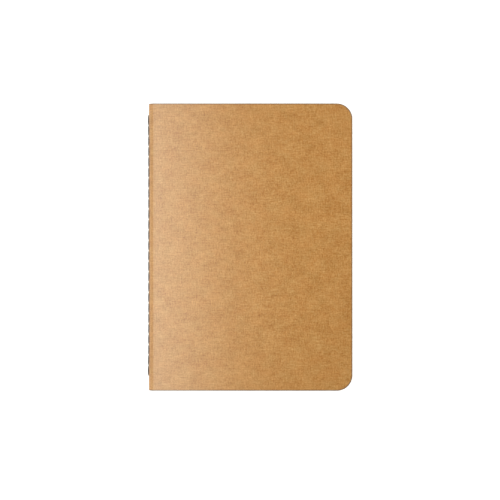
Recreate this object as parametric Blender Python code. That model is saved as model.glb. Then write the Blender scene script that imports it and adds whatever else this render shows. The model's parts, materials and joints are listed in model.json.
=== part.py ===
"""Pocket notebook: sixteen folded sheets, machine-sewn through the fold into a card cover.

The notebook lies closed on its back cover. +X runs from the spine to the fore-edge, +Y to the
head and +Z out of the front cover. The origin is the middle of the underside. Every leaf, and
both halves of the cover, turn about one line inside the fold, the fold axis.
"""

import math

import bmesh
import bpy
from mathutils import Matrix

# Trimmed size
COVER_WIDTH = 0.1050
COVER_HEIGHT = 0.1480
CORNER_RADIUS = 0.0080
CORNER_STEPS = 8

# Paper: each sheet is folded once, into a rear leaf and a front leaf
SHEET_COUNT = 16
PAPER = 0.00010
LEAF_PITCH = 0.00013
FIRST_LEAF_OFFSET = 0.000015

# The sewing pulls the folds closer together than the leaves lie
FOLD_PITCH = 0.000115
FIRST_FOLD_RADIUS = 0.000255
FOLD_STEPS = 10
NECK_STEPS = 3

# Cover card, folded round the sheets
CARD = 0.00040
COVER_RADIUS = 0.00250
GAP = 0.00002

# Distance from the fold axis to where the leaves, and the covers, start to be flat
LEAF_REACH = 0.00255
COVER_REACH = 0.00260

# The front cover bends about a line just outside the card
CREASE_STANDOFF = 0.00030

# Lockstitch seam along the crest of the fold
STITCH_COUNT = 25
STITCH_PITCH = 0.00537
SEAM_FROM_HEAD = 0.0060
STITCH_RISE = 0.00045
NEEDLE_THREAD_RADIUS = 0.00024
NEEDLE_THREAD_PROUD = 0.00050
NEEDLE_THREAD_DIP = 0.00014
BOBBIN_THREAD_RADIUS = 0.00018
BOBBIN_THREAD_DIP = 0.00005
NEEDLE_HOLE_RADIUS = 0.00055
NEEDLE_HOLE_SIDES = 8

# Places that follow from the sizes
SPINE_X = -(COVER_WIDTH - NEEDLE_THREAD_PROUD) / 2
FORE_EDGE_X = SPINE_X + COVER_WIDTH
FOLD_AXIS = (SPINE_X + COVER_RADIUS, 0.0, COVER_RADIUS)
CREASE_AXIS = (FOLD_AXIS[0] + COVER_REACH, 0.0, 2 * COVER_RADIUS + CREASE_STANDOFF)
COVER_OFFSET = COVER_RADIUS - CARD
SMOOTH_LIMIT = math.radians(40.0)


def clear_scene():
    """Remove whatever the file opened with."""
    for obj in list(bpy.data.objects):
        bpy.data.objects.remove(obj, do_unlink=True)


def make_material(name, colour, roughness):
    """A plain non-metallic material."""
    material = bpy.data.materials.new(name)
    material.use_nodes = True
    shader = material.node_tree.nodes["Principled BSDF"]
    shader.inputs["Base Color"].default_value = (*colour, 1.0)
    shader.inputs["Roughness"].default_value = roughness
    shader.inputs["Metallic"].default_value = 0.0
    material.diffuse_color = (*colour, 1.0)
    return material


def place(name, data, origin, material):
    """Put new mesh or curve data in the scene, with its origin on its turning axis."""
    obj = bpy.data.objects.new(name, data)
    obj.location = origin
    data.materials.append(material)
    bpy.context.scene.collection.objects.link(obj)
    return obj


def extrude_outline(name, points, travel, origin, material):
    """A solid made by pushing a closed flat outline along a straight line."""
    solid = bmesh.new()
    corners = [solid.verts.new(point) for point in points]
    base = solid.faces.new(corners)
    swept = bmesh.ops.extrude_face_region(solid, geom=[base], use_keep_orig=True)
    moved = [item for item in swept["geom"] if isinstance(item, bmesh.types.BMVert)]
    bmesh.ops.translate(solid, verts=moved, vec=travel)
    bmesh.ops.recalc_face_normals(solid, faces=solid.faces)
    mesh = bpy.data.meshes.new(name)
    solid.to_mesh(mesh)
    solid.free()
    mesh.shade_smooth()
    mesh.set_sharp_from_angle(angle=SMOOTH_LIMIT)
    return place(name, mesh, origin, material)


def corner_arc(centre_x, centre_y, first_angle):
    """Points round one rounded corner, a quarter turn from first_angle."""
    points = []
    for step in range(CORNER_STEPS + 1):
        angle = math.radians(first_angle + 90.0 * step / CORNER_STEPS)
        x = centre_x + CORNER_RADIUS * math.cos(angle)
        y = centre_y + CORNER_RADIUS * math.sin(angle)
        points.append((x, y))
    return points


def add_plate(name, start_x, low_z, thickness, origin, material):
    """A flat leaf or cover: square at the spine, rounded at the two fore-edge corners."""
    half_height = COVER_HEIGHT / 2
    arc_x = FORE_EDGE_X - CORNER_RADIUS
    arc_y = half_height - CORNER_RADIUS
    outline = [(start_x, -half_height)]
    outline += corner_arc(arc_x, -arc_y, -90.0)
    outline += corner_arc(arc_x, arc_y, 0.0)
    outline.append((start_x, half_height))
    points = [(x - origin[0], y - origin[1], low_z - origin[2]) for x, y in outline]
    return extrude_outline(name, points, (0.0, 0.0, thickness), origin, material)


def arc_line(radius):
    """Points (x, z) about the fold axis, from below it, round the crest, to above it."""
    points = []
    for step in range(FOLD_STEPS + 1):
        angle = math.pi * step / FOLD_STEPS
        points.append((-radius * math.sin(angle), -radius * math.cos(angle)))
    return points


def neck_line(radius, offset):
    """Points (x, z) where a folded sheet eases from its fold out to its flat front leaf."""
    points = []
    for step in range(1, NECK_STEPS + 1):
        share = step / NECK_STEPS
        ease = share * share * (3.0 - 2.0 * share)
        points.append(((LEAF_REACH - GAP) * share, radius + (offset - radius) * ease))
    return points


def sheet_line(radius, offset):
    """Points (x, z) from a sheet's rear leaf, round its fold, to its front leaf."""
    front_neck = neck_line(radius, offset)
    rear_neck = [(x, -z) for x, z in reversed(front_neck)]
    return rear_neck + arc_line(radius) + front_neck


def add_strip(name, outer_line, inner_line, material):
    """A bent strip as long as the spine, between an outer and an inner line of points."""
    foot = -COVER_HEIGHT / 2
    outline = [(x, foot, z) for x, z in outer_line + inner_line[::-1]]
    return extrude_outline(name, outline, (0.0, COVER_HEIGHT, 0.0), FOLD_AXIS, material)


def add_sheet(number, paper):
    """One folded sheet, counted from the middle: its rear leaf, its fold and its front leaf."""
    offset = FIRST_LEAF_OFFSET + (number - 1) * LEAF_PITCH
    radius = FIRST_FOLD_RADIUS + (number - 1) * FOLD_PITCH
    start_x = FOLD_AXIS[0] + LEAF_REACH
    front_z = FOLD_AXIS[2] + offset
    rear_z = FOLD_AXIS[2] - offset - PAPER
    label = f"sheet_{number:02d}"
    add_plate(f"{label}_rear_leaf", start_x, rear_z, PAPER, FOLD_AXIS, paper)
    add_plate(f"{label}_front_leaf", start_x, front_z, PAPER, FOLD_AXIS, paper)
    outer = sheet_line(radius + PAPER, offset + PAPER)
    inner = sheet_line(radius, offset)
    add_strip(f"{label}_fold", outer, inner, paper)


def hole_places():
    """Where the needle went through, along Y from the head."""
    first = COVER_HEIGHT / 2 - SEAM_FROM_HEAD
    return [first - STITCH_PITCH * index for index in range(STITCH_COUNT + 1)]


def cut_needle_holes(spine):
    """Cut the row of needle holes through the crest of the cover's fold."""
    cutters = bmesh.new()
    quarter_turn = Matrix.Rotation(math.radians(90.0), 4, "Y")
    for y in hole_places():
        made = bmesh.ops.create_cone(cutters, cap_ends=True, segments=NEEDLE_HOLE_SIDES,
                                     radius1=NEEDLE_HOLE_RADIUS, radius2=NEEDLE_HOLE_RADIUS,
                                     depth=4 * CARD)
        bmesh.ops.transform(cutters, verts=made["verts"], matrix=quarter_turn)
        bmesh.ops.translate(cutters, verts=made["verts"], vec=(CARD / 2 - COVER_RADIUS, y, 0.0))
    bmesh.ops.recalc_face_normals(cutters, faces=cutters.faces)
    mesh = bpy.data.meshes.new("needle_hole_cutter")
    cutters.to_mesh(mesh)
    cutters.free()
    cutter = bpy.data.objects.new("needle_hole_cutter", mesh)
    cutter.location = FOLD_AXIS
    cutter.display_type = "WIRE"
    cutter.hide_render = True
    bpy.context.scene.collection.objects.link(cutter)
    cut = spine.modifiers.new("needle_holes", "BOOLEAN")
    cut.operation = "DIFFERENCE"
    cut.solver = "EXACT"
    cut.object = cutter


def add_cover(card):
    """The card cover: back, rear crease, sewn spine, front crease and front."""
    crease_start = FOLD_AXIS[0] + GAP
    crease_end = FOLD_AXIS[0] + COVER_REACH - GAP
    panel_start = FOLD_AXIS[0] + COVER_REACH
    front_z = FOLD_AXIS[2] + COVER_OFFSET
    add_plate("back_cover", panel_start, 0.0, CARD, (panel_start, 0.0, 0.0), card)
    add_crease("cover_rear_crease", crease_start, crease_end, 0.0, card)
    spine = add_strip("cover_spine", arc_line(COVER_RADIUS), arc_line(COVER_OFFSET), card)
    cut_needle_holes(spine)
    add_crease("cover_front_crease", crease_start, crease_end, front_z, card)
    add_plate("front_cover", panel_start, front_z, CARD, CREASE_AXIS, card)


def add_crease(name, start_x, end_x, low_z, material):
    """The narrow stretch of card that bends between the spine and a cover."""
    half_height = COVER_HEIGHT / 2
    corners = [(start_x, -half_height), (end_x, -half_height)]
    corners += [(end_x, half_height), (start_x, half_height)]
    points = [(x - FOLD_AXIS[0], y, low_z - FOLD_AXIS[2]) for x, y in corners]
    return extrude_outline(name, points, (0.0, 0.0, CARD), FOLD_AXIS, material)


def seam_path(surface_radius, dip):
    """Centre line of a sewn thread: flat along each stitch, drawn in at each needle hole."""
    places = hole_places()
    inward = surface_radius - dip
    path = [(-inward, places[0])]
    for start_y, end_y in zip(places, places[1:]):
        path.append((-surface_radius, start_y - STITCH_RISE))
        path.append((-surface_radius, end_y + STITCH_RISE))
        path.append((-inward, end_y))
    return path


def add_thread(name, path, radius, material):
    """A round thread along a path in the plane of the fold's crest."""
    curve = bpy.data.curves.new(name, "CURVE")
    curve.dimensions = "3D"
    curve.bevel_depth = radius
    curve.bevel_resolution = 1
    curve.use_fill_caps = True
    spline = curve.splines.new("POLY")
    spline.points.add(len(path) - 1)
    for point, (x, y) in zip(spline.points, path):
        point.co = (x, y, 0.0, 1.0)
    spline.use_smooth = True
    return place(name, curve, FOLD_AXIS, material)


def add_threads(thread):
    """The needle thread outside the spine and the bobbin thread inside the middle fold."""
    outside = COVER_RADIUS + NEEDLE_THREAD_PROUD - NEEDLE_THREAD_RADIUS
    needle_dip = outside - COVER_RADIUS + NEEDLE_THREAD_DIP
    add_thread("needle_thread", seam_path(outside, needle_dip), NEEDLE_THREAD_RADIUS, thread)
    add_thread("bobbin_thread", seam_path(0.0, -BOBBIN_THREAD_DIP), BOBBIN_THREAD_RADIUS, thread)


def build():
    """Make the whole notebook."""
    clear_scene()
    card = make_material("kraft_card", (0.571, 0.296, 0.107), 0.80)
    paper = make_material("ivory_paper", (0.86, 0.82, 0.70), 0.90)
    thread = make_material("waxed_thread", (0.085, 0.045, 0.020), 0.60)
    add_cover(card)
    for number in range(1, SHEET_COUNT + 1):
        add_sheet(number, paper)
    add_threads(thread)


build()
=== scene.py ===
"""Looks of the pocket notebook: kraft card cover, ivory paper and waxed thread round the CAD frame."""

import json
import math
import random

import bpy
import numpy as np
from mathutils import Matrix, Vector


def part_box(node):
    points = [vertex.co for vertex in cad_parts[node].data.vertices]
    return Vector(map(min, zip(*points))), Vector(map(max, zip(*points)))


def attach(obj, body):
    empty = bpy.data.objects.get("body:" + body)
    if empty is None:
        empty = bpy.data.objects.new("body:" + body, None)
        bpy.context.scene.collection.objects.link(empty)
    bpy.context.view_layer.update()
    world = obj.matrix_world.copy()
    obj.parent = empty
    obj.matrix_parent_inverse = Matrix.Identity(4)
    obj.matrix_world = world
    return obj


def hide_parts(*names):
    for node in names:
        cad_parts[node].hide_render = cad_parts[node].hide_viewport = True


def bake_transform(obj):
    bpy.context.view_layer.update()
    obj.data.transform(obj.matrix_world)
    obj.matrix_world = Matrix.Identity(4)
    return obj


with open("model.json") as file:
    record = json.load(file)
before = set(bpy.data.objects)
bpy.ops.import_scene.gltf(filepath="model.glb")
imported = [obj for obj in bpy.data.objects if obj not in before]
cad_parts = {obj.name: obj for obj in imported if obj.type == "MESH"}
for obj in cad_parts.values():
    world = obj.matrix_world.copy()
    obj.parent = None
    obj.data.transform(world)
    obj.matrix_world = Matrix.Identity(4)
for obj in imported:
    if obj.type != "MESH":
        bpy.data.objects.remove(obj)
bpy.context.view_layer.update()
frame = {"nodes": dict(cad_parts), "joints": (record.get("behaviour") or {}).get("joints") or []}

MM = 0.001
rng = random.Random(7)

# ---------------------------------------------------------------- places read from the frame
JOINTS = {joint["name"]: joint for joint in frame["joints"]}
FOLD_X, _, FOLD_Z = JOINTS["notebook_open"]["pos_m"]
CREASE_X, _, CREASE_Z = JOINTS["front_cover_open"]["pos_m"]
COVER_LOW, COVER_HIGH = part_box("front_cover")
FORE_X = COVER_HIGH.x
HEAD_Y = COVER_HIGH.y
CARD = COVER_HIGH.z - COVER_LOW.z
SPINE_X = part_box("cover_spine")[0].x
NEEDLE_LOW, NEEDLE_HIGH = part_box("needle_thread")
BOBBIN_LOW, BOBBIN_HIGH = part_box("bobbin_thread")
SHEET_COUNT = sum(name.endswith("_front_leaf") for name in frame["nodes"])


def corner_radius():
    """The radius of the fore-edge corners, from where the straight fore-edge ends."""
    points = [vertex.co for vertex in frame["nodes"]["front_cover"].data.vertices]
    return HEAD_Y - max(point.y for point in points if point.x > FORE_X - 1e-6)


CORNER = corner_radius()

# ---------------------------------------------------------------- fine sizes of the looks
STITCHES = 25
SEAM_HEAD = NEEDLE_HIGH.y
SEAM_TAIL = NEEDLE_LOW.y
STITCH = (SEAM_HEAD - SEAM_TAIL) / STITCHES
HOLES = [SEAM_HEAD - STITCH * index for index in range(STITCHES + 1)]
# The folds are pressed flatter by this share at the crest, and less and less up to the reach.
FOLD_SAG = 0.17
SAG_REACH = 5.2 * MM
# The cut edge of card and paper is darkened over this width; on the card this is partly painted edge
# shade.
RIM_WIDTH = 0.60 * MM
# The front crease bends over a band from a little before its line to further past it.
CREASE_LEAD = 0.15 * MM
CREASE_BEND = 0.95 * MM
# The CAD threads are six-sided, and this is a hexagon's height against its width.
HEXAGON = math.cos(math.radians(30))
# The needle thread looks thicker than its CAD node, and lies deeper where the seam is tight.
THREAD_SWELL = 1.25
THREAD_DRAW = 0.13 * MM
SEAM_EASE = 3 * STITCH
# Each stitch presses a groove in the card. It is shallower at the holes, which have dimples.
GROOVE_DEPTH = 0.28 * MM
GROOVE_WIDTH = 0.9 * MM
HOLE_RELIEF = 0.7
DIMPLE_DEPTH = 0.11 * MM
DIMPLE_WIDTH = 0.42 * MM
# The UV map holds places on the flat sheet, with the inner faces moved aside by the shift.
FLAT_UV = "flat"
INNER_SHIFT = 0.30


def ease(t):
    """A smooth step from 0 to 1."""
    t = np.clip(t, 0.0, 1.0)
    return t * t * (3 - 2 * t)


def sag(x):
    """How much the folds are pressed flat, against the distance past the fold axis."""
    share = np.clip((SAG_REACH - x) / (SAG_REACH + FOLD_X - SPINE_X), 0, 1)
    return 1 - FOLD_SAG * share ** 2


def tightness(y):
    """How tight the seam is, from 0 at its ends to 1 a few stitches in."""
    to_end = (SEAM_HEAD - SEAM_TAIL) / 2 - np.abs(y - (SEAM_HEAD + SEAM_TAIL) / 2)
    return ease(to_end / SEAM_EASE)


# ---------------------------------------------------------------- bent sheets of card and paper
def half_line(radius, offset, reach, fold_steps, places, corner_steps, fore_x):
    """Columns (x, z, cut) of a half sheet, from the crest of its fold to its fore-edge.

    x and z are from the fold axis. places are the x of the columns past the fold, and cut is
    how far a rounded corner has shortened the column at each end.
    """
    turn = np.linspace(0, math.pi / 2, fold_steps + 1)
    past = np.array(sorted(place for place in places if place > 1e-9))
    corner_x = fore_x - CORNER - FOLD_X
    sweep = np.linspace(0, math.pi / 2, corner_steps + 1)
    x = np.concatenate([-radius * np.cos(turn), past, corner_x + CORNER * np.sin(sweep)])
    flat_z = offset + (radius - offset) * (1 - ease(x / reach))
    z = np.concatenate([radius * np.sin(turn), flat_z[fold_steps + 1:]])
    z *= sag(x)
    cut = np.zeros_like(x)
    cut[-corner_steps - 1:] = CORNER * (1 - np.cos(sweep))
    return np.column_stack([x, z, cut])


def line_frame(columns):
    """Unit normals of a half line, pointing away from the fold axis, and its running length."""
    steps = np.diff(columns[:, :2], axis=0)
    lengths = np.hypot(steps[:, 0], steps[:, 1])
    tangents = steps / lengths[:, None]
    joined = np.vstack([[[0.0, 1.0]], tangents[:-1] + tangents[1:], [[1.0, 0.0]]])
    joined /= np.hypot(joined[:, 0], joined[:, 1])[:, None]
    normals = np.column_stack([-joined[:, 1], joined[:, 0]])
    return normals, np.concatenate([[0.0], np.cumsum(lengths)])


def grid_faces(rows, columns, start, flip):
    """Quads of a grid of vertices numbered row by row."""
    faces = []
    for row in range(rows - 1):
        for column in range(columns - 1):
            corner = start + row * columns + column
            quad = (corner, corner + 1, corner + columns + 1, corner + columns)
            faces.append(quad[::-1] if flip else quad)
    return faces


def rim_faces(rows, columns, flip):
    """Quads that join the borders of two equal grids into one closed shell."""
    ring = [(0, column) for column in range(columns)]
    ring += [(row, columns - 1) for row in range(1, rows)]
    ring += [(rows - 1, column) for column in range(columns - 2, -1, -1)]
    ring += [(row, 0) for row in range(rows - 2, 0, -1)]
    numbers = [row * columns + column for row, column in ring]
    shift = rows * columns
    faces = []
    for here, after in zip(numbers, numbers[1:] + numbers[:1]):
        quad = (here, here + shift, after + shift, after)
        faces.append(quad[::-1] if flip else quad)
    return faces


def edge_distance(x, y, tall, fore_x, half_height):
    """How far each grid point is from the cut edge of the sheet."""
    straight = np.minimum(tall[None, :] - np.abs(y), fore_x - x)
    corner_x = fore_x - CORNER
    corner_y = half_height - CORNER
    in_corner = (x > corner_x) & (np.abs(y) > corner_y)
    rounded = CORNER - np.hypot(x - corner_x, np.abs(y) - corner_y)
    return np.where(in_corner, rounded, straight)


def bent_sheet(name, side, columns, span, thickness, rows, half_height, edge_round, pressed=None):
    """A closed part of a half sheet. side is 1 for the front half and -1 for the rear one.

    span is the first column used and the one after the last, and rows are shares of the half
    height, from -1 to 1. edge_round is how much thinner the cut edge is, and pressed tells how
    far the outer face is pressed in. Each corner carries its place on the flat sheet as a UV map
    in metres, and each vertex how near it is to the cut edge as the attribute rim.
    """
    first, last = span
    normals, lengths = line_frame(columns)
    fore_x = columns[-1, 0]
    part, normals, lengths = columns[first:last], normals[first:last], lengths[first:last]
    count_r, count_c = len(rows), len(part)
    x = np.tile(part[:, 0], (count_r, 1))
    z = np.tile(part[:, 1], (count_r, 1))
    tall = half_height - part[:, 2]
    y = np.outer(rows, tall)
    distance = edge_distance(x, y, tall, fore_x, half_height)
    rim = np.clip(1 - np.maximum(distance, 0) / RIM_WIDTH, 0, 1)
    half = thickness / 2 * (1 - edge_round * (distance < 1e-6))
    outer_half = half if pressed is None else half - pressed(lengths, y)
    outer = np.stack([x + normals[:, 0] * outer_half, y, z + normals[:, 1] * outer_half], axis=-1)
    inner = np.stack([x - normals[:, 0] * half, y, z - normals[:, 1] * half], axis=-1)
    points = np.concatenate([outer.reshape(-1, 3), inner.reshape(-1, 3)])
    points[:, 0] += FOLD_X
    points[:, 2] = FOLD_Z + side * points[:, 2]
    size = count_r * count_c
    outer_faces = grid_faces(count_r, count_c, 0, side < 0)
    inner_faces = grid_faces(count_r, count_c, size, side > 0)
    border = rim_faces(count_r, count_c, side < 0)
    mesh = bpy.data.meshes.new(name)
    mesh.from_pydata(points.tolist(), [], outer_faces + inner_faces + border)
    spread = np.stack([np.tile(lengths * side, (count_r, 1)), y], axis=-1).reshape(-1, 2)
    store_uv(mesh, np.concatenate([spread, spread]), len(outer_faces), len(inner_faces))
    layer = mesh.attributes.new("rim", "FLOAT", "POINT")
    layer.data.foreach_set("value", np.tile(rim.ravel(), 2).astype(np.float32))
    mesh.shade_smooth()
    mesh.set_sharp_from_angle(angle=math.radians(40))
    obj = bpy.data.objects.new(name, mesh)
    bpy.context.scene.collection.objects.link(obj)
    return obj


def store_uv(mesh, spread, outer_count, inner_count):
    """Writes each corner's place on the flat sheet, with the inner face moved well aside."""
    corners = np.zeros(len(mesh.loops), np.int32)
    mesh.loops.foreach_get("vertex_index", corners)
    uv = spread[corners]
    first = 4 * outer_count
    uv[first:first + 4 * inner_count, 0] += INNER_SHIFT
    layer = mesh.uv_layers.new(name=FLAT_UV)
    layer.data.foreach_set("uv", uv.astype(np.float32).ravel())


def cover_rows():
    """Shares of the half height: close together at the cut edges and round each needle hole."""
    places = []
    for inset in (0.0, 0.04, 0.12, 0.3, 0.6, 1.2, 2.4, 4.2):
        places += [HEAD_Y - inset * MM, inset * MM - HEAD_Y]
    for hole in HOLES:
        for step in (0.1, 0.3, 0.55, 0.95, 1.6):
            places += [hole - step * MM, hole + step * MM]
        places.append(hole - STITCH / 2)
    return np.array(sorted(place for place in places if abs(place) <= HEAD_Y)) / HEAD_Y


def seam_groove(lengths, y):
    """How far the card is pressed in: under each stitch, and in a small dimple at each needle hole."""
    stitched = np.ones_like(y)
    dimples = np.zeros_like(y)
    across = (lengths / DIMPLE_WIDTH)[None, :] ** 2
    for hole in HOLES:
        stitched -= HOLE_RELIEF * np.exp(-((y - hole) / (2 * DIMPLE_WIDTH)) ** 2)
        dimples += DIMPLE_DEPTH * np.exp(-across - ((y - hole) / DIMPLE_WIDTH) ** 2)
    groove = GROOVE_DEPTH * tightness(y) * stitched * np.exp(-(lengths / GROOVE_WIDTH)[None, :] ** 2)
    return groove + dimples


def make_cover(card):
    """The cover's back half, its front strip beside the spine, and its front panel."""
    reach = CREASE_X - FOLD_X
    bend = reach - CREASE_LEAD
    corner_x = FORE_X - CORNER - FOLD_X
    places = list(np.linspace(0, bend, 11)) + list(np.linspace(bend, reach + CREASE_BEND, 15)[1:])
    places += list(np.linspace(reach + CREASE_BEND, SAG_REACH, 5)[1:])
    places += list(np.linspace(SAG_REACH, corner_x, 10)[1:-1])
    radius = FOLD_X - SPINE_X - CARD / 2
    offset = COVER_HIGH.z - FOLD_Z - CARD / 2
    columns = half_line(radius, offset, reach, 18, places, 22, FORE_X)
    split = int(np.argmin(np.abs(columns[:, 0] - bend)))
    end = len(columns)
    rows = cover_rows()

    worn = 0.2
    back = bent_sheet("cover_back_half", -1, columns, (0, end), CARD, rows, HEAD_Y, worn, seam_groove)
    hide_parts("back_cover", "cover_rear_crease", "cover_spine")
    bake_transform(back)

    strip = bent_sheet("cover_front_strip", 1, columns, (0, split + 1), CARD, rows, HEAD_Y, worn,
                       seam_groove)
    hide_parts("cover_spine", "cover_front_crease")
    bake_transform(strip)

    front = bent_sheet("cover_front_panel", 1, columns, (split, end), CARD, rows, HEAD_Y, worn)
    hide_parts("front_cover", "cover_front_crease")
    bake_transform(front)
    for piece in (back, strip, front):
        piece.data.materials.append(card)


def make_sheet(number, paper):
    """Both halves of one folded sheet, which meet at the crest of its fold."""
    label = f"sheet_{number:02d}"
    leaf_low, leaf_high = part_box(f"{label}_front_leaf")
    thickness = leaf_high.z - leaf_low.z
    offset = (leaf_low.z + leaf_high.z) / 2 - FOLD_Z
    radius = FOLD_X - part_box(f"{label}_fold")[0].x - thickness / 2
    reach = leaf_low.x - FOLD_X
    rows = np.concatenate([[-1, -0.9995, -0.995], np.linspace(-0.95, 0.95, 9), [0.995, 0.9995, 1]])
    for side, word in ((-1, "rear"), (1, "front")):
        fore_x = leaf_high.x - rng.uniform(0.02, 0.16) * MM
        half_height = HEAD_Y - rng.uniform(0.01, 0.10) * MM
        places = list(np.linspace(0, reach, 7)) + list(np.linspace(reach, SAG_REACH, 5)[1:])
        places += list(np.linspace(SAG_REACH, fore_x - CORNER - FOLD_X, 7)[1:-1])
        columns = half_line(radius, offset, reach, 12, places, 12, fore_x)
        half = bent_sheet(f"{label}_{word}_half", side, columns, (0, len(columns)), thickness, rows,
                          half_height, 0.0)
        half.data.materials.append(paper)
        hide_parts(f"{label}_{word}_leaf", f"{label}_fold")
        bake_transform(half)


# ---------------------------------------------------------------- sewing thread
def twisted_thread(name, path, radius, plies, pitch, sides):
    """A closed thread of twisted plies along a path of (x, y, z, scale) points."""
    centres = np.array(path)[:, :3]
    scales = np.array(path)[:, 3]
    tangents = np.gradient(centres, axis=0)
    tangents /= np.linalg.norm(tangents, axis=1)[:, None]
    side = np.cross(tangents, np.array([0.0, 0.0, 1.0]))
    side /= np.linalg.norm(side, axis=1)[:, None]
    up = np.cross(side, tangents)
    travelled = np.concatenate([[0], np.cumsum(np.linalg.norm(np.diff(centres, axis=0), axis=1))])
    rings = []
    for index, centre in enumerate(centres):
        twist = 2 * math.pi * travelled[index] / pitch
        for step in range(sides):
            angle = 2 * math.pi * step / sides
            lobe = 0.80 + 0.20 * abs(math.cos(plies / 2 * (angle - twist)))
            reach = radius * scales[index] * lobe
            rings.append(centre + reach * (math.cos(angle) * side[index] + math.sin(angle) * up[index]))
    faces = []
    last = len(centres) - 1
    for index in range(last):
        for step in range(sides):
            here = index * sides + step
            beside = index * sides + (step + 1) % sides
            faces.append((here, beside, beside + sides, here + sides))
    faces.append(tuple(range(sides))[::-1])
    faces.append(tuple(range(last * sides, (last + 1) * sides)))
    mesh = bpy.data.meshes.new(name)
    mesh.from_pydata([tuple(point) for point in rings], [], faces)
    layer = mesh.uv_layers.new(name=FLAT_UV)
    for polygon in mesh.polygons:
        for loop in polygon.loop_indices:
            vertex = mesh.loops[loop].vertex_index
            layer.data[loop].uv = (travelled[vertex // sides], (vertex % sides) / sides * MM)
    mesh.shade_smooth()
    obj = bpy.data.objects.new(name, mesh)
    bpy.context.scene.collection.objects.link(obj)
    return obj


def seam_points(base, rise, steps, sway, draw):
    """Points of a sewn thread: each stitch arches out from its needle holes, a little unevenly.

    base is how far the holes' points are from the fold axis, and draw how much deeper the thread
    lies where the seam is tight.
    """
    points = []
    for index in range(STITCHES):
        height = rise * rng.uniform(0.93, 1.0)
        lean = sway * rng.uniform(-1, 1)
        for step in range(steps + (index == STITCHES - 1)):
            share = step / steps
            arch = 1 - abs(2 * share - 1) ** 5
            scale = 0.80 + 0.20 * arch
            y = HOLES[index] - STITCH * share
            x = FOLD_X - base - height * arch + draw * tightness(y)
            points.append((x, y, FOLD_Z + lean * arch, scale))
    return points


def make_threads(waxed):
    """The needle thread outside the spine and the bobbin thread inside the middle fold."""
    radius = THREAD_SWELL * (NEEDLE_HIGH.z - NEEDLE_LOW.z) / 2 / HEXAGON
    outside = FOLD_X - NEEDLE_LOW.x - radius
    inside = FOLD_X - NEEDLE_HIGH.x + radius
    path = seam_points(inside, outside - inside, 44, 0.06 * MM, THREAD_DRAW)
    needle = twisted_thread("needle_thread_sewn", path, radius, 3, 1.3 * MM, 15)
    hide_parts("needle_thread")
    radius = (BOBBIN_HIGH.z - BOBBIN_LOW.z) / 2 / HEXAGON
    middle = FOLD_X - BOBBIN_LOW.x - radius
    path = seam_points(middle, -middle, 30, 0.0, 0.0)
    bobbin = twisted_thread("bobbin_thread_sewn", path, radius, 3, 1.1 * MM, 12)
    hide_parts("bobbin_thread")
    for piece in (needle, bobbin):
        piece.data.materials.append(waxed)
        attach(piece, "spine")


# ---------------------------------------------------------------- materials
class Recipe:
    """Builds one material's nodes in a few short calls."""

    def __init__(self, name):
        self.material = bpy.data.materials.new(name)
        self.material.use_nodes = True
        self.tree = self.material.node_tree
        self.shader = self.tree.nodes["Principled BSDF"]

    def node(self, kind, inputs=(), **settings):
        made = self.tree.nodes.new(kind)
        for key, value in settings.items():
            setattr(made, key, value)
        for key, value in dict(inputs).items():
            if isinstance(value, bpy.types.NodeSocket):
                self.tree.links.new(value, made.inputs[key])
            else:
                made.inputs[key].default_value = value
        return made

    def math(self, operation, first, second=0.0):
        return self.node("ShaderNodeMath", {0: first, 1: second}, operation=operation).outputs[0]

    def flat_place(self, scale):
        """The place on the flat sheet, in millimetres times scale."""
        uv = self.node("ShaderNodeUVMap", uv_map=FLAT_UV).outputs["UV"]
        return self.node("ShaderNodeMapping", {"Vector": uv, "Scale": scale}).outputs["Vector"]

    def noise(self, scale, detail=3.0, roughness=0.55, distortion=0.0):
        """Noise over the flat sheet. scale is in cycles a millimetre, along and up the page."""
        place = self.flat_place((scale[0] / MM, scale[1] / MM, 1.0))
        inputs = {"Vector": place, "Scale": 1.0, "Detail": detail, "Roughness": roughness,
                  "Distortion": distortion}
        return self.node("ShaderNodeTexNoise", inputs).outputs["Fac"]

    def ramp(self, factor, stops):
        """A colour ramp from (position, colour) pairs."""
        made = self.node("ShaderNodeValToRGB", {"Fac": factor})
        elements = made.color_ramp.elements
        while len(elements) < len(stops):
            elements.new(0.5)
        for element, (position, colour) in zip(elements, stops):
            element.position = position
            element.color = (*colour, 1.0)
        return made.outputs["Color"]

    def mix(self, factor, first, second, blend="MIX"):
        """Two colours mixed or blended."""
        made = self.node("ShaderNodeMix", data_type="RGBA", blend_type=blend)
        for index, value in ((0, factor), (6, first), (7, second)):
            if isinstance(value, bpy.types.NodeSocket):
                self.tree.links.new(value, made.inputs[index])
            else:
                made.inputs[index].default_value = value if index == 0 else (*value, 1.0)
        return made.outputs[2]

    def level(self, factor, low, high, start, end):
        """Maps factor from low..high to start..end, clamped."""
        inputs = {"Value": factor, "From Min": low, "From Max": high, "To Min": start, "To Max": end}
        return self.node("ShaderNodeMapRange", inputs).outputs["Result"]

    def bump(self, height, strength, distance, under=None):
        """A bump normal from a height, over another one if given."""
        inputs = {"Height": height, "Strength": strength, "Distance": distance}
        if under is not None:
            inputs["Normal"] = under
        return self.node("ShaderNodeBump", inputs).outputs["Normal"]

    def wire(self, socket, value):
        self.tree.links.new(value, self.shader.inputs[socket])


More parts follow.
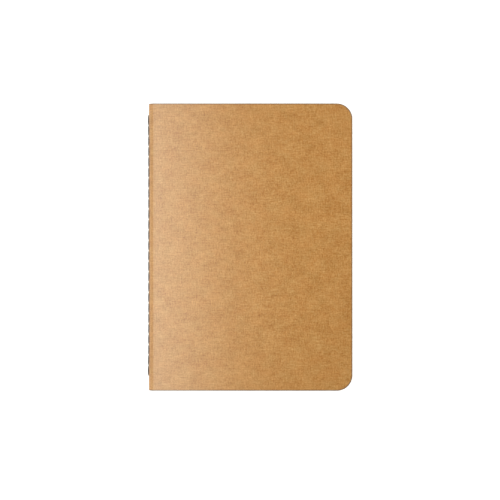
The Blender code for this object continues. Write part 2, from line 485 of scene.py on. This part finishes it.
def kraft_card():
    """Brown kraft card: cloudy pulp, fibres along and across, painted stitch shade and a dark cut edge,
    partly painted shade.
    """
    recipe = Recipe("kraft_card_looks")
    clouds = recipe.noise((0.10, 0.13), detail=8.0, roughness=0.80)
    fibres = recipe.noise((0.22, 1.7), detail=3.0, roughness=0.6, distortion=0.5)
    cross = recipe.noise((1.7, 0.30), detail=3.0, roughness=0.6, distortion=0.5)
    grit = recipe.noise((1.3, 1.3), detail=2.0)
    tone = recipe.level(clouds, 0.28, 0.72, 0.29, 0.71)
    tone = recipe.math("ADD", tone, recipe.level(fibres, 0.30, 0.70, -0.16, 0.16))
    tone = recipe.math("ADD", tone, recipe.level(cross, 0.30, 0.70, -0.16, 0.16))
    tone = recipe.math("ADD", tone, recipe.level(grit, 0.30, 0.70, -0.18, 0.18))
    colour = recipe.ramp(tone, [(0.0, (0.243, 0.067, 0.002)), (0.25, (0.321, 0.122, 0.005)),
                                (1.0, (0.556, 0.287, 0.080))])
    patches = recipe.noise((0.13, 0.16), detail=3.0, roughness=0.7)
    hue = recipe.ramp(patches, [(0.35, (1.02, 0.985, 0.93)), (0.65, (0.98, 1.015, 1.07))])
    colour = recipe.mix(1.0, colour, hue, "MULTIPLY")
    # Painted shade: the card is darkened beside each stitch, where the thread would shade it.
    painted_shade_colour = (0.10, 0.045, 0.015)
    colour = recipe.mix(painted_stitch_shade(recipe), colour, painted_shade_colour)
    # The card's cut edge is darkened partly in its own edge tone and partly as painted edge shade.
    cut_edge = (0.10, 0.05, 0.022)
    rim = recipe.node("ShaderNodeAttribute", attribute_name="rim").outputs["Fac"]
    colour = recipe.mix(recipe.level(rim, 0.05, 0.50, 0.0, 0.85), colour, cut_edge)
    recipe.wire("Base Color", colour)
    recipe.wire("Roughness", recipe.level(grit, 0.3, 0.7, 0.36, 0.43))
    normal = recipe.bump(grit, 0.12, 0.02 * MM)
    normal = recipe.bump(fibres, 0.16, 0.03 * MM, normal)
    normal = recipe.bump(clouds, 0.10, 0.10 * MM, normal)
    recipe.wire("Normal", normal)
    recipe.shader.inputs["Specular IOR Level"].default_value = 1.0
    recipe.shader.inputs["IOR"].default_value = 1.55
    return recipe.material


def painted_stitch_shade(recipe):
    """How much painted shade the thread casts on the card beside each stitch, from 0 to 1."""
    place = recipe.node("ShaderNodeSeparateXYZ", {0: recipe.flat_place((1.0, 1.0, 1.0))})
    across = recipe.math("ABSOLUTE", place.outputs["X"])
    near = recipe.level(across, 0.6 * MM, 1.5 * MM, 0.78, 0.0)
    height = place.outputs["Y"]
    to_hole = recipe.math("PINGPONG", recipe.math("SUBTRACT", height, SEAM_TAIL), STITCH / 2)
    along = recipe.level(to_hole, 0.2 * MM, 1.6 * MM, 0.0, 1.0)
    middle = recipe.math("ABSOLUTE", recipe.math("SUBTRACT", height, (SEAM_HEAD + SEAM_TAIL) / 2))
    sewn = recipe.math("LESS_THAN", middle, (SEAM_HEAD - SEAM_TAIL) / 2)
    return recipe.math("MULTIPLY", recipe.math("MULTIPLY", near, along), sewn)


def grey(recipe, value):
    """A grey colour of one value."""
    inputs = {"Red": value, "Green": value, "Blue": value}
    return recipe.node("ShaderNodeCombineColor", inputs).outputs["Color"]


def ruled_paper():
    """Ivory uncoated paper with faint ruled lines and soft fibres."""
    recipe = Recipe("ivory_paper_looks")
    pulp = recipe.noise((0.5, 0.6), detail=5.0, roughness=0.6)
    fibres = recipe.noise((0.8, 4.0), detail=3.0, distortion=0.5)
    colour = recipe.ramp(pulp, [(0.3, (0.600, 0.545, 0.430)), (0.7, (0.660, 0.610, 0.500))])
    shade = grey(recipe, recipe.level(fibres, 0.3, 0.7, 0.97, 1.03))
    colour = recipe.mix(1.0, colour, shade, "MULTIPLY")
    height = recipe.node("ShaderNodeSeparateXYZ", {0: recipe.flat_place((1.0, 1.0, 1.0))}).outputs["Y"]
    line_pitch = 6.5 * MM
    head_margin = 17 * MM
    tail_margin = 7 * MM
    first_line = HEAD_Y - head_margin
    beat = recipe.math("PINGPONG", recipe.math("SUBTRACT", height, first_line), line_pitch / 2)
    line = recipe.level(beat, 0.06 * MM, 0.11 * MM, 0.55, 0.0)
    below_head = recipe.math("LESS_THAN", height, first_line + line_pitch / 2)
    above_tail = recipe.math("GREATER_THAN", height, tail_margin - HEAD_Y)
    line = recipe.math("MULTIPLY", recipe.math("MULTIPLY", line, below_head), above_tail)
    ink = (0.24, 0.27, 0.32)
    colour = recipe.mix(line, colour, ink)
    cut_edge = (0.46, 0.38, 0.27)
    rim = recipe.node("ShaderNodeAttribute", attribute_name="rim").outputs["Fac"]
    colour = recipe.mix(recipe.level(rim, 0.0, 1.0, 0.0, 0.35), colour, cut_edge)
    recipe.wire("Base Color", colour)
    recipe.wire("Roughness", recipe.level(pulp, 0.3, 0.7, 0.80, 0.92))
    recipe.wire("Normal", recipe.bump(fibres, 0.10, 0.02 * MM))
    recipe.shader.inputs["Specular IOR Level"].default_value = 0.35
    return recipe.material


def waxed_thread():
    """Dark brown waxed thread, with lighter worn fibres along its plies."""
    recipe = Recipe("waxed_thread_looks")
    fibres = recipe.noise((2.5, 12.0), detail=4.0, roughness=0.65, distortion=0.4)
    length = recipe.noise((0.25, 0.25), detail=1.0)
    colour = recipe.ramp(fibres, [(0.30, (0.009, 0.004, 0.0015)), (0.70, (0.038, 0.019, 0.009))])
    shade = grey(recipe, recipe.level(length, 0.3, 0.7, 0.75, 1.3))
    colour = recipe.mix(1.0, colour, shade, "MULTIPLY")
    recipe.wire("Base Color", colour)
    recipe.wire("Roughness", recipe.level(fibres, 0.3, 0.7, 0.60, 0.80))
    recipe.shader.inputs["Specular IOR Level"].default_value = 0.08
    recipe.wire("Normal", recipe.bump(fibres, 0.3, 0.03 * MM))
    return recipe.material


def pale_floor():
    """A plain white studio floor."""
    recipe = Recipe("pale_floor_looks")
    tone = recipe.node("ShaderNodeTexNoise", {"Scale": 3.0, "Detail": 1.0}).outputs["Fac"]
    recipe.wire("Base Color", recipe.ramp(tone, [(0.0, (0.90, 0.90, 0.90)), (1.0, (0.93, 0.93, 0.93))]))
    recipe.shader.inputs["Roughness"].default_value = 0.9
    recipe.shader.inputs["Specular IOR Level"].default_value = 0.0
    recipe.shader.inputs["Emission Color"].default_value = (1.0, 1.0, 1.0, 1.0)
    recipe.shader.inputs["Emission Strength"].default_value = 0.35
    return recipe.material


# ---------------------------------------------------------------- studio
def make_floor(material):
    """The floor that the notebook lies on, a hair below it."""
    size = 3.0
    height = -0.02 * MM
    corners = [(-size, -size, height), (size, -size, height), (size, size, height), (-size, size, height)]
    mesh = bpy.data.meshes.new("studio_floor")
    mesh.from_pydata(corners, [], [(0, 1, 2, 3)])
    mesh.materials.append(material)
    floor = bpy.data.objects.new("studio_floor", mesh)
    bpy.context.scene.collection.objects.link(floor)


def add_softbox(name, place, target, size, watts, colour):
    """A soft rectangular light aimed at a point on the floor."""
    data = bpy.data.lights.new(name, "AREA")
    data.shape = "RECTANGLE"
    data.size, data.size_y = size
    data.energy = watts
    data.color = colour
    lamp = bpy.data.objects.new(name, data)
    lamp.location = place
    aim = Vector((*target, 0.0)) - lamp.location
    lamp.rotation_euler = aim.to_track_quat("-Z", "Y").to_euler()
    lamp.visible_camera = False
    bpy.context.scene.collection.objects.link(lamp)


def make_surround():
    """A pale studio, bright at mid height and dim overhead, where the cover would mirror it."""
    world = bpy.data.worlds.new("studio_surround")
    world.use_nodes = True
    nodes, links = world.node_tree.nodes, world.node_tree.links
    direction = nodes.new("ShaderNodeTexCoord")
    parts = nodes.new("ShaderNodeSeparateXYZ")
    links.new(direction.outputs["Generated"], parts.inputs["Vector"])
    height = nodes.new("ShaderNodeValToRGB")
    links.new(parts.outputs["Z"], height.inputs["Fac"])
    elements = height.color_ramp.elements
    levels = ((0.0, 0.70), (0.35, 0.70), (0.58, 1.0), (0.72, 0.85), (0.92, 0.04))
    while len(elements) < len(levels):
        elements.new(0.5)
    for element, (position, level) in zip(elements, levels):
        element.position = position
        element.color = (level, level, level, 1.0)
    links.new(height.outputs["Color"], nodes["Background"].inputs["Color"])
    nodes["Background"].inputs["Strength"].default_value = 1.48
    bpy.context.scene.world = world


def make_lights():
    """A strip light above the spine, whose gloss fades across the cover, and a weak fill."""
    make_surround()
    above_spine = (-0.068, -0.012)
    key_colour = (0.92, 1.0, 0.97)
    add_softbox("key_strip", (*above_spine, 0.165), above_spine, (0.055, 0.26), 0.195, key_colour)
    white = (1.0, 1.0, 1.0)
    add_softbox("fore_edge_fill", (0.25, 0.16, 0.16), (0.05, 0.075), (0.20, 0.20), 0.31, white)


def make_camera():
    """A long lens looking straight down at the front cover, its head at the top."""
    reach = 0.8643
    tailward = 1.5 * MM
    data = bpy.data.cameras.new("photo_camera")
    data.lens = 120.8
    data.sensor_width = 36.0
    data.clip_start = 0.01
    data.clip_end = 20.0
    camera = bpy.data.objects.new("photo_camera", data)
    camera.location = (0.01 * MM, -tailward, COVER_HIGH.z + reach)
    bpy.context.scene.collection.objects.link(camera)
    bpy.context.scene.camera = camera


def build():
    """Everything that shows."""
    bpy.context.scene.view_settings.view_transform = "Standard"
    make_camera()
    make_cover(kraft_card())
    paper = ruled_paper()
    for number in range(1, SHEET_COUNT + 1):
        make_sheet(number, paper)
    make_threads(waxed_thread())
    make_floor(pale_floor())
    make_lights()


build()
